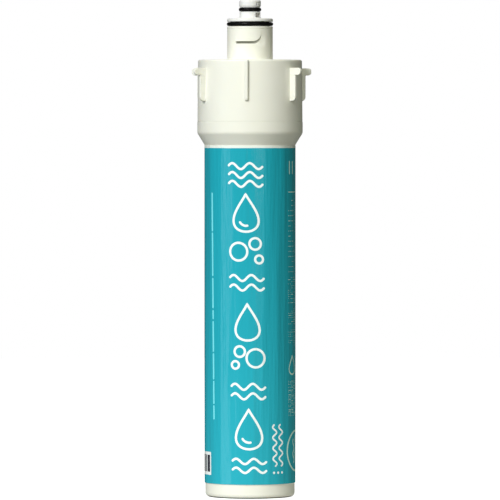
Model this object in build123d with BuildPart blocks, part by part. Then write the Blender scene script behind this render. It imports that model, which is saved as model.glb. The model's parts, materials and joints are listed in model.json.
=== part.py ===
from build123d import *
import os
from math import cos, radians, sin

# A sealed quick-change reverse osmosis cartridge, standing on its closed end.
# Sizes are in millimetres. The origin is the centre of the base, +Z runs up to the outlet tip,
# and -Y is the front, where the plain rib of the head is.
#
# Water path: feed enters the windows between the two outer O-rings, runs down outside the
# roll to its foot and up through the roll. What is left goes through the manifold and the
# drain tube to the slots of the tip. Clean water goes through the core tube, the non-return
# valve and the riser to the port in the top.

os.makedirs("parts", exist_ok=True)

# ---- Driving dimensions ----
total_height = 450.0
base_radius = 40.5
barrel_radius = 41.15
wall = 2.8
label_thickness = 0.15
label_bottom = 12.9
label_top = 318.2

taper_bottom = 318.9
rim_bottom = 329.7
rim_radius = 47.8
seam_height = 340.0
cap_top = 396.0
cap_top_radius = 47.1
plate = 3.6

neck_radius = 20.6
neck_bore = 15.6
ring_section = 3.53
neck_land = 17.5
neck_groove_bottom = 426.2
flange_bottom = 430.6
flange_top = 433.4
flange_radius = 20.75

stem_radius = 9.4
stem_bore = 7.9
spigot_land = 6.67
spigot_groove_bottom = 439.6
spigot_top = 443.5
tip_radius = 9.8
port_radius = 3.5
port_depth = 4.4

fin_thickness = 2.7
rib_radius = 50.0
fin_radius = 53.2
ear_radius = 58.9
fin_bottom = 358.5
ear_bottom = 382.0
ear_top = 388.5
front = -90.0
rib_angles = (front, front + 180)
ear_angles = (front - 113, front - 55, front + 55, front + 113)

slot_height = 2.0
slot_level = 411.5
slot_depth = 2.0
window_angles = (front + 56, front + 236)

core_radius = 8.5
core_bore = 6.0
roll_bottom = 18.0
roll_top = 304.0
roll_radius = 33.9
element_radius = 34.8
end_cap_height = 6.0
stub_top = 322.0

drain_radius = 5.35
drain_bore = 4.4
drain_bottom = 358.0
riser_radius = 3.0
riser_bore = 2.1
riser_bottom = 346.0

valve_seat = 327.0
valve_bore = 7.6
poppet_radius = 6.2
seal_thickness = 1.0
spring_plate = 339.0

fit = 0.05


def turned(corners, mode=Mode.ADD):
    """Turn a closed half section about Z. A corner is its radius, its height and its rounding."""
    points = [(corner[0], corner[1]) for corner in corners]
    roundings = [corner[2] for corner in corners]
    with BuildSketch(Plane.XZ) as section:
        with BuildLine():
            FilletPolyline(*points, radius=roundings, close=True)
        make_face()
    revolve(section.sketch, axis=Axis.Z, mode=mode)


def ring(outer_radius, section_diameter, level):
    """Turn an O-ring of a given outside radius whose middle is at a level."""
    with BuildSketch(Plane.XZ) as section:
        with Locations((outer_radius - section_diameter / 2, level)):
            Circle(section_diameter / 2)
    revolve(section.sketch, axis=Axis.Z)


def facing(angle, distance, height, lean=0.0):
    """A plane that looks outwards at an angle about Z: its X runs round the part, its Y runs up."""
    outwards = (cos(radians(angle)), sin(radians(angle)))
    round_the_part = (-outwards[1], outwards[0], 0)
    centre = (distance * outwards[0], distance * outwards[1], height)
    normal = (outwards[0] * cos(radians(lean)), outwards[1] * cos(radians(lean)), sin(radians(lean)))
    return Plane(origin=centre, x_dir=round_the_part, z_dir=normal)


def radial(angle):
    """A plane through the axis, whose X points outwards at an angle and whose Y points up."""
    outwards = (cos(radians(angle)), sin(radians(angle)), 0)
    normal = (outwards[1], -outwards[0], 0)
    return Plane(origin=(0, 0, 0), x_dir=outwards, z_dir=normal)


def finish(piece, name):
    """Label a finished piece and write its STEP file."""
    piece.part.label = name
    export_step(piece.part, f"parts/{name}.step")


# ---- Canister ----
inner_radius = barrel_radius - wall
rim_bore = rim_radius - 3.1
floor_top = 4.0
base_corner = 4.0
step_height = 0.6
seam_chamfer = 0.3

with BuildPart() as canister_body:
    turned([
        (0, 1.4, 0),
        (27.0, 1.4, 1.0),
        (29.0, 0, 1.0),
        (base_radius, 0, base_corner),
        (base_radius, label_bottom - step_height, 0.4),
        (barrel_radius, label_bottom - 0.1, 0.2),
        (barrel_radius, taper_bottom, 2.0),
        (rim_radius, rim_bottom, 5.0),
        (rim_radius, seam_height - seam_chamfer, 0),
        (rim_radius - seam_chamfer, seam_height, 0),
        (rim_bore, seam_height, 0),
        (rim_bore, rim_bottom + 1.6, 2.0),
        (inner_radius, taper_bottom + 1.5, 2.0),
        (inner_radius, floor_top, 4.0),
        (0, floor_top, 0),
    ])
finish(canister_body, "canister_body")

# ---- Label film, wrapped round the barrel ----
with BuildPart() as label_sleeve:
    with BuildSketch(Plane.XY.offset(label_bottom)):
        Circle(barrel_radius + label_thickness)
        Circle(barrel_radius, mode=Mode.SUBTRACT)
    extrude(amount=label_top - label_bottom)
finish(label_sleeve, "label_sleeve")

# ---- Head: collar, top plate, neck, ribs and eared fins ----
cap_bottom_radius = rim_radius - 0.2
cap_wall = 3.2
skirt_outer = rim_bore - 0.1
skirt_inner = skirt_outer - 2.7
skirt_bottom = seam_height - 7.5
lip_radius = neck_radius + 0.1
lip_height = 1.9
fin_root = cap_top_radius - 1.5
nose_radius = (ear_top - ear_bottom) / 2
edge_round = 0.45

with BuildPart() as head_cap:
    turned([
        (skirt_inner, skirt_bottom, 0.5),
        (skirt_outer, skirt_bottom, 0.5),
        (skirt_outer, seam_height, 0),
        (cap_bottom_radius - seam_chamfer, seam_height, 0),
        (cap_bottom_radius, seam_height + seam_chamfer, 0),
        (cap_top_radius, cap_top, 1.7),
        (neck_radius, cap_top, 1.2),
        (neck_radius, neck_groove_bottom - lip_height - 0.5, 0),
        (neck_radius - 0.25, neck_groove_bottom - lip_height - 0.25, 0),
        (lip_radius, neck_groove_bottom - lip_height, 0),
        (lip_radius, neck_groove_bottom, 0.35),
        (neck_land, neck_groove_bottom, 0),
        (neck_land, flange_bottom, 0),
        (neck_bore, flange_bottom, 0),
        (neck_bore, cap_top - plate, 1.5),
        (cap_top_radius - cap_wall, cap_top - plate, 4.0),
        (cap_bottom_radius - cap_wall, seam_height + 5.0, 0),
        (skirt_inner, seam_height, 0),
    ])

    # Two plain ribs run down from the top edge
    for angle in rib_angles:
        with BuildSketch(radial(angle)) as rib:
            with BuildLine():
                FilletPolyline(
                    (fin_root, fin_bottom), (rib_radius, fin_bottom),
                    (rib_radius, cap_top - 0.4), (fin_root, cap_top - 0.4),
                    radius=[0, 2.5, 1.2, 0], close=True,
                )
            make_face()
        extrude(rib.sketch, amount=fin_thickness / 2, both=True)

    # Four fins carry an ear with a round nose at their top
    for angle in ear_angles:
        with BuildSketch(radial(angle)) as fin:
            with BuildLine():
                FilletPolyline(
                    (fin_root, fin_bottom), (fin_radius, fin_bottom), (fin_radius, ear_bottom),
                    (ear_radius, ear_bottom), (ear_radius, ear_top), (fin_root, ear_top),
                    radius=[0, 4.0, 0.9, nose_radius - 0.1, nose_radius - 0.4, 0], close=True,
                )
            make_face()
        extrude(fin.sketch, amount=fin_thickness / 2, both=True)

    # Soften the long outer edges of the ribs and fins
    outer_edges = [
        edge for edge in head_cap.edges().filter_by(Axis.Z)
        for reach in (rib_radius, fin_radius)
        if abs((edge @ 0.5).X ** 2 + (edge @ 0.5).Y ** 2 - reach ** 2) < fin_thickness ** 2
    ]
    fillet(outer_edges, edge_round)

    # Two twist-in slots: a level groove, a flare, and an entry that runs out upwards
    for start in rib_angles:
        groove_plane = radial(start - 36)
        with BuildSketch(groove_plane) as groove:
            with Locations((neck_radius, slot_level)):
                Rectangle(2 * slot_depth, slot_height)
        revolve(groove.sketch, axis=Axis.Z, revolution_arc=50, mode=Mode.SUBTRACT)

        flare_plane = facing(start + 22, neck_radius - slot_depth, slot_level)
        with BuildSketch(flare_plane) as flare:
            with BuildLine():
                Line((-5.5, -slot_height / 2), (-5.5, slot_height / 2))
                flare_top = Line((-5.5, slot_height / 2), (-2.6, slot_height / 2))
                rise = RadiusArc(flare_top @ 1, (3.6, 7.2), -6.2)
                Line(rise @ 1, (6.5, 7.2))
                Line((6.5, 7.2), (6.5, -2.6))
                Line((6.5, -2.6), (-5.5, -slot_height / 2))
            make_face()
        extrude(flare.sketch, amount=2 * slot_depth, mode=Mode.SUBTRACT)

        entry_plane = facing(start + 45, neck_radius - slot_depth, slot_level, lean=-10.0)
        with BuildSketch(entry_plane) as entry:
            with BuildLine():
                FilletPolyline(
                    (-4.2, -2.6), (8.0, -3.4), (8.0, 9.5), (-4.2, 9.5),
                    radius=[0, 0, 0, 1.5], close=True,
                )
            make_face()
        extrude(entry.sketch, amount=2 * slot_depth, mode=Mode.SUBTRACT)
finish(head_cap, "head_cap")

# ---- White flanged spigot in the neck ----
skirt_radius = neck_bore - fit
spigot_skirt_bottom = 418.0
shoulder = spigot_groove_bottom - 1.3
window_width = 6.6
window_height = 3.8
window_level = 436.6

with BuildPart() as inlet_spigot:
    turned([
        (skirt_radius - 1.9, spigot_skirt_bottom, 0.3),
        (skirt_radius, spigot_skirt_bottom, 0.5),
        (skirt_radius, flange_bottom, 0),
        (flange_radius, flange_bottom, 0.2),
        (flange_radius, flange_top, 1.3),
        (stem_radius, flange_top + 0.3, 1.5),
        (stem_radius, spigot_groove_bottom, 0.3),
        (spigot_land, spigot_groove_bottom, 0),
        (spigot_land, spigot_top, 0),
        (drain_radius + fit, spigot_top, 0),
        (drain_radius + fit, shoulder, 0.3),
        (stem_bore, shoulder, 0.3),
        (stem_bore, flange_bottom - 0.4, 1.0),
        (skirt_radius - 1.9, flange_bottom - 0.4, 1.0),
    ])
    for angle in window_angles:
        with BuildSketch(facing(angle, 0, window_level)) as window:
            RectangleRounded(window_width, window_height, 0.5)
        extrude(window.sketch, amount=stem_radius + 1, mode=Mode.SUBTRACT)
finish(inlet_spigot, "inlet_spigot")

# ---- Fine screen behind the windows ----
screen_outer = stem_bore - fit
screen_bottom = flange_bottom + 1.0
screen_top = shoulder - 0.1
screen_hole = 1.1
screen_columns = 18
screen_rows = 3

with BuildPart() as inlet_screen:
    with BuildSketch(Plane.XY.offset(screen_bottom)):
        Circle(screen_outer)
        Circle(screen_outer - 0.5, mode=Mode.SUBTRACT)
    extrude(amount=screen_top - screen_bottom)
    for column in range(screen_columns):
        turn = window_angles[0] + 360 * column / screen_columns
        with BuildSketch(facing(turn, 0, window_level)) as holes:
            with GridLocations(1.5, 1.5, 1, screen_rows):
                Rectangle(screen_hole, screen_hole)
        extrude(holes.sketch, amount=screen_outer + 1, mode=Mode.SUBTRACT)
finish(inlet_screen, "inlet_screen")

# ---- Outlet tip, above the small O-ring ----
tip_floor = 1.2
tip_roof = 1.4
tip_chamber = 8.1
cup_radius = 4.6
tip_slot_width = 1.2
tip_slot_pitch = 13.0
chamber_bottom = spigot_top + tip_floor
chamber_top = total_height - tip_roof

with BuildPart() as outlet_tip:
    turned([
        (drain_radius + 2 * fit, spigot_top, 0),
        (tip_radius - 0.6, spigot_top, 0),
        (tip_radius - 0.6, spigot_top + 0.7, 0.2),
        (tip_radius, spigot_top + 1.3, 0.3),
        (tip_radius, total_height, 1.3),
        (cup_radius + fit, total_height, 0),
        (cup_radius + fit, chamber_top, 0),
        (tip_chamber, chamber_top, 0.4),
        (tip_chamber, chamber_bottom, 0.4),
        (drain_radius + 2 * fit, chamber_bottom, 0),
    ])
    for middle in window_angles:
        for step in (-1, 0, 1):
            slot_plane = facing(middle + step * tip_slot_pitch, 0, (chamber_bottom + chamber_top) / 2)
            with BuildSketch(slot_plane) as tip_slot:
                RectangleRounded(tip_slot_width, 2.6, 0.3)
            extrude(tip_slot.sketch, amount=tip_radius + 1, mode=Mode.SUBTRACT)
finish(outlet_tip, "outlet_tip")

# ---- The two outer O-rings ----
with BuildPart() as neck_o_ring:
    ring(neck_land + ring_section + 0.02, ring_section, (neck_groove_bottom + flange_bottom) / 2)
finish(neck_o_ring, "neck_o_ring")

with BuildPart() as spigot_o_ring:
    ring(spigot_land + ring_section + 0.02, ring_section, (spigot_groove_bottom + spigot_top) / 2)
finish(spigot_o_ring, "spigot_o_ring")

# ---- Foot that centres the roll on the canister's floor ----
foot_top = roll_bottom - end_cap_height
foot_hub = 12.0
foot_reach = inner_radius - 0.4
foot_ribs = 6
rib_thickness = 3.0
stub_bottom = 8.0

with BuildPart() as foot_spider:
    turned([
        (0, floor_top, 0), (foot_hub, floor_top, 0), (foot_hub, foot_top, 0),
        (core_radius + fit, foot_top, 0), (core_radius + fit, stub_bottom, 0), (0, stub_bottom, 0),
    ])
    turned([
        (30.0, foot_top - 3, 0), (33.0, foot_top - 3, 0), (33.0, foot_top, 0), (30.0, foot_top, 0),
    ])
    for index in range(foot_ribs):
        with BuildSketch(radial(360 * index / foot_ribs)) as foot_rib:
            with BuildLine():
                Polyline(
                    (foot_hub - 2, floor_top), (33.0, floor_top), (foot_reach, floor_top + 4.8),
                    (foot_reach, foot_top), (foot_hub - 2, foot_top), close=True,
                )
            make_face()
        extrude(foot_rib.sketch, amount=rib_thickness / 2, both=True)
finish(foot_spider, "foot_spider")

# ---- Perforated core tube ----
core_ring_section = 1.26
core_ring_levels = (314.5, 318.5)
core_ring_floor = core_radius + 0.08 - core_ring_section - 0.02
hole_rows = 12
hole_pitch = 23.0

with BuildPart() as core_tube:
    with BuildSketch(Plane.XY.offset(stub_bottom)):
        Circle(core_radius)
        Circle(core_bore, mode=Mode.SUBTRACT)
    extrude(amount=stub_top - stub_bottom)
    for level in core_ring_levels:
        turned([
            (core_ring_floor, level - 0.85, 0), (core_radius + 1, level - 0.85, 0),
            (core_radius + 1, level + 0.85, 0), (core_ring_floor, level + 0.85, 0),
        ], mode=Mode.SUBTRACT)
    for row in range(hole_rows):
        level = roll_bottom + 15 + row * hole_pitch
        with BuildSketch(facing(90 * (row % 2), 0, level)) as core_hole:
            Circle(1.0)
        extrude(core_hole.sketch, amount=core_radius + 1, both=True, mode=Mode.SUBTRACT)
finish(core_tube, "core_tube")

with BuildPart() as core_tube_o_rings:
    for level in core_ring_levels:
        ring(core_radius + 0.08, core_ring_section, level)
finish(core_tube_o_rings, "core_tube_o_rings")

with BuildPart() as core_plug:
    turned([
        (0, stub_bottom, 0), (core_bore - fit, stub_bottom, 0), (core_bore - fit, 15.0, 0.8),
        (0, 15.0, 0),
    ])
finish(core_plug, "core_plug")

# ---- Spiral roll: two membranes with the carrier between them, and the feed spacer ----
membrane = 0.45
carrier = 0.50
spacer = 0.80
sheet_gap = 0.05
pitch = 2 * membrane + carrier + spacer + 4 * sheet_gap
half_turns = 19
first_radius = core_radius + pitch / 4 + 0.2


def spiral_sheet(offset_out, thickness):
    """Extrude one spiral sheet. It is half turns whose centres swap sides, so it never kinks."""
    with BuildSketch(Plane.XY.offset(roll_bottom)) as sheet:
        with BuildLine():
            for index in range(half_turns):
                side = -1 if index % 2 == 0 else 1
                inside = first_radius + offset_out + index * pitch / 2
                CenterArc((side * pitch / 4, 0), inside, 180 * index, 180)
                CenterArc((side * pitch / 4, 0), inside + thickness, 180 * index, 180)
            start = first_radius + offset_out - pitch / 4
            Line((start, 0), (start + thickness, 0))
            # An odd number of half turns ends on the -X side
            end = -(first_radius + offset_out + (half_turns - 1) * pitch / 2 + pitch / 4)
            Line((end, 0), (end - thickness, 0))
        make_face()
    extrude(sheet.sketch, amount=roll_top - roll_bottom)


with BuildPart() as membrane_leaves:
    spiral_sheet(0, membrane)
    spiral_sheet(membrane + carrier + 2 * sheet_gap, membrane)
finish(membrane_leaves, "membrane_leaves")

with BuildPart() as permeate_carrier:
    spiral_sheet(membrane + sheet_gap, carrier)
finish(permeate_carrier, "permeate_carrier")

with BuildPart() as feed_spacer:
    spiral_sheet(2 * membrane + carrier + 3 * sheet_gap, spacer)
finish(feed_spacer, "feed_spacer")

with BuildPart() as outer_wrap:
    with BuildSketch(Plane.XY.offset(roll_bottom)):
        Circle(element_radius - 0.1)
        Circle(roll_radius, mode=Mode.SUBTRACT)
    extrude(amount=roll_top - roll_bottom)
finish(outer_wrap, "outer_wrap")

# ---- Spoked end caps of the roll ----
cap_hub = 12.5
cap_ring = 30.0
spokes = 8
brine_section = 2.3
brine_level = roll_top + end_cap_height / 2
brine_floor = 33.2


def end_cap_body(level):
    """Build a spoked disc with a hub for the core tube, standing on a level."""
    with BuildSketch(Plane.XY.offset(level)) as disc:
        Circle(element_radius)
        Circle(cap_ring, mode=Mode.SUBTRACT)
        with PolarLocations(0, spokes):
            with Locations(((cap_hub + cap_ring) / 2 + 0.5, 0)):
                Rectangle(cap_ring - cap_hub + 3, 2.4)
        Circle(cap_hub)
        Circle(core_radius + fit, mode=Mode.SUBTRACT)
    extrude(disc.sketch, amount=end_cap_height)


with BuildPart() as lower_end_cap:
    end_cap_body(roll_bottom - end_cap_height)
finish(lower_end_cap, "lower_end_cap")

with BuildPart() as upper_end_cap:
    end_cap_body(roll_top)
    turned([
        (brine_floor, brine_level - 1.4, 0), (element_radius + 1, brine_level - 1.4, 0),
        (element_radius + 1, brine_level + 1.4, 0), (brine_floor, brine_level + 1.4, 0),
    ], mode=Mode.SUBTRACT)
finish(upper_end_cap, "upper_end_cap")

with BuildPart() as brine_seal:
    ring(brine_floor + 0.01 + brine_section, brine_section, brine_level)
finish(brine_seal, "brine_seal")

# ---- Manifold that gathers the reject water over the roll ----
skirt_bore = brine_floor + brine_section + 0.03
disc_bottom = 313.5
disc_top = 317.0
boss_radius = 14.2
boss_bore = 12.6
socket_radius = 8.0
socket_top = drain_bottom + 10
drain_ring_section = 1.2
drain_ring_level = drain_bottom + 5

with BuildPart() as top_manifold:
    turned([
        (skirt_bore, roll_top + 0.6, 0),
        (skirt_bore + 1.2, roll_top + 0.6, 0),
        (skirt_bore + 1.2, disc_top, 2.5),
        (boss_radius, disc_top, 2.0),
        (boss_radius, 349.5, 3.0),
        (socket_radius, drain_bottom, 2.0),
        (socket_radius, socket_top, 0.5),
        (drain_radius + 2 * fit, socket_top, 0),
        (drain_radius + 2 * fit, drain_ring_level + 0.8, 0),
        (drain_radius + 1.25, drain_ring_level + 0.8, 0),
        (drain_radius + 1.25, drain_ring_level - 0.8, 0),
        (drain_radius + 2 * fit, drain_ring_level - 0.8, 0),
        (drain_radius + 2 * fit, drain_bottom, 0),
        (drain_bore, drain_bottom, 0),
        (boss_bore, 347.5, 2.0),
        (boss_bore, disc_bottom, 1.0),
        (skirt_bore, disc_bottom, 1.0),
    ])
finish(top_manifold, "top_manifold")

with BuildPart() as drain_tube_seal:
    ring(drain_radius + 0.03 + drain_ring_section, drain_ring_section, drain_ring_level)
finish(drain_tube_seal, "drain_tube_seal")

with BuildPart() as drain_tube:
    with BuildSketch(Plane.XY.offset(drain_bottom)):
        Circle(drain_radius)
        Circle(drain_bore, mode=Mode.SUBTRACT)
    extrude(amount=spigot_top - drain_bottom)
finish(drain_tube, "drain_tube")

# ---- Non-return valve on the core tube's stub ----
socket_bore = core_radius + 0.1
valve_outer = 10.3
valve_floor_top = valve_seat - 1.0
passage = 4.0
valve_top = 343.0
guide_bore = 1.55
riser_ring_section = 0.9
riser_ring_level = riser_bottom + 4
nipple_radius = 4.7

with BuildPart() as valve_body:
    turned([
        (socket_bore, disc_bottom - 2.5, 0),
        (valve_outer, disc_bottom - 2.5, 0),
        (valve_outer, valve_floor_top, 0.8),
        (valve_outer - 1.1, valve_floor_top + 1.1, 0),
        (valve_outer - 1.1, valve_top, 0),
        (valve_bore, valve_top, 0),
        (valve_bore, valve_floor_top, 0),
        (passage + 0.8, valve_floor_top, 0),
        (passage + 0.8, valve_seat, 0),
        (passage, valve_seat, 0),
        (passage, stub_top + 0.5, 0),
        (socket_bore, stub_top + 0.5, 0),
    ])
    for index in range(3):
        with BuildSketch(radial(120 * index + 30)) as guide_fin:
            with Locations(((valve_outer - 2 + boss_bore - 0.1) / 2, 332.0)):
                Rectangle(boss_bore - 0.1 - valve_outer + 2, 8.0)
        extrude(guide_fin.sketch, amount=0.8, both=True)
finish(valve_body, "valve_body")

with BuildPart() as valve_cap:
    turned([
        (guide_bore, spring_plate, 0),
        (valve_bore - fit, spring_plate, 0.4),
        (valve_bore - fit, valve_top, 0),
        (valve_outer - 1.1, valve_top, 0),
        (valve_outer - 1.1, valve_top + 2, 0.5),
        (nipple_radius, valve_top + 2, 0.5),
        (nipple_radius, riser_bottom + 7, 0.3),
        (riser_radius + fit, riser_bottom + 7, 0),
        (riser_radius + fit, riser_ring_level + 0.6, 0),
        (riser_radius + 0.95, riser_ring_level + 0.6, 0),
        (riser_radius + 0.95, riser_ring_level - 0.6, 0),
        (riser_radius + fit, riser_ring_level - 0.6, 0),
        (riser_radius + fit, riser_bottom, 0),
        (riser_bore, riser_bottom, 0),
        (riser_bore, riser_bottom - 1.4, 0),
        (5.8, riser_bottom - 1.8, 0),
        (5.8, spring_plate + 2, 0),
        (guide_bore, spring_plate + 2, 0),
    ])
    with BuildSketch(Plane.XY.offset(spring_plate)) as flow_holes:
        with PolarLocations(4.55, 6):
            Circle(1.1)
    extrude(flow_holes.sketch, amount=2.0, mode=Mode.SUBTRACT)
finish(valve_cap, "valve_cap")

seal_top = valve_seat + seal_thickness
poppet_top = seal_top + 1.4
with BuildPart() as valve_poppet:
    turned([
        (0, valve_seat - 0.9, 0),
        (2.7, valve_seat - 0.9, 0.3),
        (2.7, valve_seat, 0),
        (1.95, valve_seat, 0),
        (1.95, seal_top, 0),
        (poppet_radius, seal_top, 0.2),
        (poppet_radius, poppet_top, 0.4),
        (guide_bore - fit, poppet_top, 0),
        (guide_bore - fit, spring_plate + 1.8, 0.5),
        (0, spring_plate + 1.8, 0),
    ])
finish(valve_poppet, "valve_poppet")

with BuildPart() as valve_seal:
    turned([
        (2.0, valve_seat, 0), (poppet_radius - 0.3, valve_seat, 0.2),
        (poppet_radius - 0.3, seal_top, 0.2), (2.0, seal_top, 0),
    ])
finish(valve_seal, "valve_seal")

wire = 0.3
coil_radius = 2.5
coil_gap = 0.04
coil_bottom = poppet_top + wire + coil_gap
coil_height = spring_plate - poppet_top - 2 * (wire + coil_gap)
with BuildPart() as valve_spring:
    with BuildLine() as coil:
        Helix(pitch=coil_height / 5.5, height=coil_height, radius=coil_radius, center=(0, 0, coil_bottom))
    with BuildSketch(Plane(origin=coil.line @ 0, z_dir=coil.line % 0)):
        Circle(wire)
    sweep()
finish(valve_spring, "valve_spring")

# ---- Clean-water riser, whose cup is the port in the tip ----
cup_bottom = spigot_top + 0.4
port_floor = total_height - port_depth
with BuildPart() as permeate_riser:
    turned([
        (riser_bore, riser_bottom, 0),
        (riser_radius, riser_bottom, 0),
        (riser_radius, cup_bottom, 0.5),
        (cup_radius, cup_bottom + 1.5, 0.5),
        (cup_radius, total_height, 0),
        (port_radius + 0.4, total_height, 0),
        (port_radius, total_height - 0.4, 0),
        (port_radius, port_floor, 0),
        (riser_bore, port_floor - 0.4, 0),
    ])
finish(permeate_riser, "permeate_riser")

with BuildPart() as riser_seal:
    ring(riser_radius + 0.02 + riser_ring_section, riser_ring_section, riser_ring_level)
finish(riser_seal, "riser_seal")
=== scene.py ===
# %% [markdown]
# This lesson dresses a sealed quick-change reverse osmosis cartridge. The CAD model is the
# frame: it holds every size, and each Blender piece is worked out in the same metres and the
# same place. Most CAD nodes are already smooth, so they only need a material. The head, the
# label film, its print, the valve spring and two small marks of moulding and welding need finer
# shapes, so they are new surfaces.

# %% Load the frame
import json

import bpy
import numpy as np
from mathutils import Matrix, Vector


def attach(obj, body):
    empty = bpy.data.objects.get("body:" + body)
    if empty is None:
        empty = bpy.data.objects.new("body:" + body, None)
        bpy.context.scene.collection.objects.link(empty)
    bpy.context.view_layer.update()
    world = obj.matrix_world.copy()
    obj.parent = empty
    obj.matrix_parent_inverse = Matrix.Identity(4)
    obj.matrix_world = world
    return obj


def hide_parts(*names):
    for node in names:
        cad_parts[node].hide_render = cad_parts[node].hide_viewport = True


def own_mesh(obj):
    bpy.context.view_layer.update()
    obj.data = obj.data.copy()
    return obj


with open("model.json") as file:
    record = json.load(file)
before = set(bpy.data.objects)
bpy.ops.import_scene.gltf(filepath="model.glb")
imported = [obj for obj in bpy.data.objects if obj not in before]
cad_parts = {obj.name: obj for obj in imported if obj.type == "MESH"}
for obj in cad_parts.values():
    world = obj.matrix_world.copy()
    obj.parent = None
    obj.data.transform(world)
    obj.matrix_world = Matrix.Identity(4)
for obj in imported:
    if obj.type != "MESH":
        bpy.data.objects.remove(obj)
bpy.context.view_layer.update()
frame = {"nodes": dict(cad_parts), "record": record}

MM = 0.001
FRONT = np.radians(-90.0)
nodes = frame["nodes"]
scene = bpy.context.scene

# %% [markdown]
# The camera stands five metres off with a long lens, almost level, as a catalogue picture of a
# tall object is taken: a long lens keeps the canister's sides upright. It looks a few degrees
# past the front rib, so that the rib stands a little left of the middle.

# %% Camera
CAMERA_TURN = np.radians(3.7)
CAMERA_DISTANCE = 5.0
CAMERA_HEIGHT = 0.335
AIM_HEIGHT = 0.2236
LENS = 396.9
SENSOR = 36.0


def point_at(thing, place, target):
    """Stand a camera or a light at a place, with its own -Z axis towards the target."""
    thing.location = place
    thing.rotation_euler = (Vector(target) - Vector(place)).to_track_quat("-Z", "Y").to_euler()


camera_data = bpy.data.cameras.new("catalogue_camera")
camera_data.lens = LENS
camera_data.sensor_width = SENSOR
camera = bpy.data.objects.new("catalogue_camera", camera_data)
scene.collection.objects.link(camera)
camera_place = (
    CAMERA_DISTANCE * np.sin(CAMERA_TURN), -CAMERA_DISTANCE * np.cos(CAMERA_TURN), CAMERA_HEIGHT,
)
point_at(camera, camera_place, (0, 0, AIM_HEIGHT))
scene.camera = camera
scene.view_settings.view_transform = "Standard"
print("camera at", [round(float(v), 3) for v in camera_place])

# %% [markdown]
# The light is a plain soft studio. A large key box high on the left front models the round
# shapes. It stands as far off as the camera, so its light hardly fades down the tall canister.
# A weaker box on the right front keeps that side from going dark, and a tall narrow one far to
# the left draws a soft bright band down the glossy film. A wide box overhead lights the top
# plate, and a small one that lies on the floor and faces up stands for the light that white
# paper throws back under the rim. Large area lights keep the edges of every shade soft.

# %% Studio light
def softbox(name, turn, rise, distance, width, height, power, colour=(1, 1, 1), target=0.24):
    """A rectangular area light, turned and raised in degrees about the object, facing it."""
    light = bpy.data.lights.new(name, "AREA")
    light.shape = "RECTANGLE"
    light.size = width
    light.size_y = height
    light.energy = power
    light.color = colour
    box = bpy.data.objects.new(name, light)
    scene.collection.objects.link(box)
    round_angle = FRONT + CAMERA_TURN + np.radians(turn)
    flat = distance * np.cos(np.radians(rise))
    place = (
        flat * np.cos(round_angle), flat * np.sin(round_angle),
        target + distance * np.sin(np.radians(rise)),
    )
    point_at(box, place, (0, 0, target))
    box.visible_camera = False
    return box


softbox("key_box", turn=-30, rise=30, distance=5.0, width=1.9, height=1.9, power=232)
softbox("front_fill", turn=22, rise=16, distance=4.5, width=1.8, height=1.8, power=43,
        colour=(1.0, 1.03, 0.88))
softbox("side_strip", turn=-62, rise=3, distance=2.0, width=0.7, height=1.6, power=4.6,
        colour=(0.8, 1.0, 1.12))
softbox("top_fill", turn=0, rise=88, distance=1.9, width=2.4, height=2.4, power=12,
        colour=(1.0, 1.0, 0.86))
bounce = softbox("floor_bounce", turn=0, rise=-90, distance=0.0, width=0.7, height=0.7,
                 power=0.80, colour=(1.0, 1.01, 0.92), target=0.001)
bounce.rotation_euler = (np.pi, 0, 0)  # it lies on its own target, so its turn to face up is given here
bounce.visible_glossy = False

# %% [markdown]
# The backdrop is white paper. Seen directly it is plain white, while what it throws back onto
# the object is only a weak warm grey, as in a room whose walls are further away than the paper.

# %% World and floor
FILL = (0.05, 0.053, 0.045, 1)
world = bpy.data.worlds.new("white_room")
world.use_nodes = True
scene.world = world
tree = world.node_tree
tree.nodes.clear()
seen = tree.nodes.new("ShaderNodeBackground")
seen.inputs["Color"].default_value = (1, 1, 1, 1)
cast = tree.nodes.new("ShaderNodeBackground")
cast.inputs["Color"].default_value = FILL
ray = tree.nodes.new("ShaderNodeLightPath")
either = tree.nodes.new("ShaderNodeMixShader")
out = tree.nodes.new("ShaderNodeOutputWorld")
tree.links.new(ray.outputs["Is Camera Ray"], either.inputs["Fac"])
tree.links.new(cast.outputs["Background"], either.inputs[1])
tree.links.new(seen.outputs["Background"], either.inputs[2])
tree.links.new(either.outputs["Shader"], out.inputs["Surface"])

FLOOR_RADIUS = 3.0
FLOOR_SIDES = 96
FLOOR_DROP = 0.0002
PAPER_GLOW = 0.86
floor_turn = np.linspace(0, 2 * np.pi, FLOOR_SIDES, endpoint=False)
floor_rim = np.stack([
    FLOOR_RADIUS * np.cos(floor_turn), FLOOR_RADIUS * np.sin(floor_turn),
    np.full(FLOOR_SIDES, -FLOOR_DROP),
], axis=-1)
floor_mesh = bpy.data.meshes.new("paper_floor")
floor_mesh.from_pydata(floor_rim.tolist(), [], [list(range(FLOOR_SIDES))])
floor = bpy.data.objects.new("paper_floor", floor_mesh)
scene.collection.objects.link(floor)
floor.visible_diffuse = False
floor.visible_glossy = False
paper = bpy.data.materials.new("white_paper")
paper.use_nodes = True
paper_shader = paper.node_tree.nodes["Principled BSDF"]
paper_shader.inputs["Base Color"].default_value = (0.8, 0.8, 0.8, 1)
paper_shader.inputs["Roughness"].default_value = 1.0
paper_shader.inputs["Emission Color"].default_value = (1, 1, 1, 1)
paper_shader.inputs["Emission Strength"].default_value = PAPER_GLOW
floor_mesh.materials.append(paper)
print("paper floor, radius in metres:", FLOOR_RADIUS)

# %% [markdown]
# Every finish here is built from nodes that read object coordinates, in metres, so a pattern
# keeps its real size on any piece. This small helper makes a material and hands back two
# shortcuts: one that adds a node with its settings, and one that links two sockets.

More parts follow.
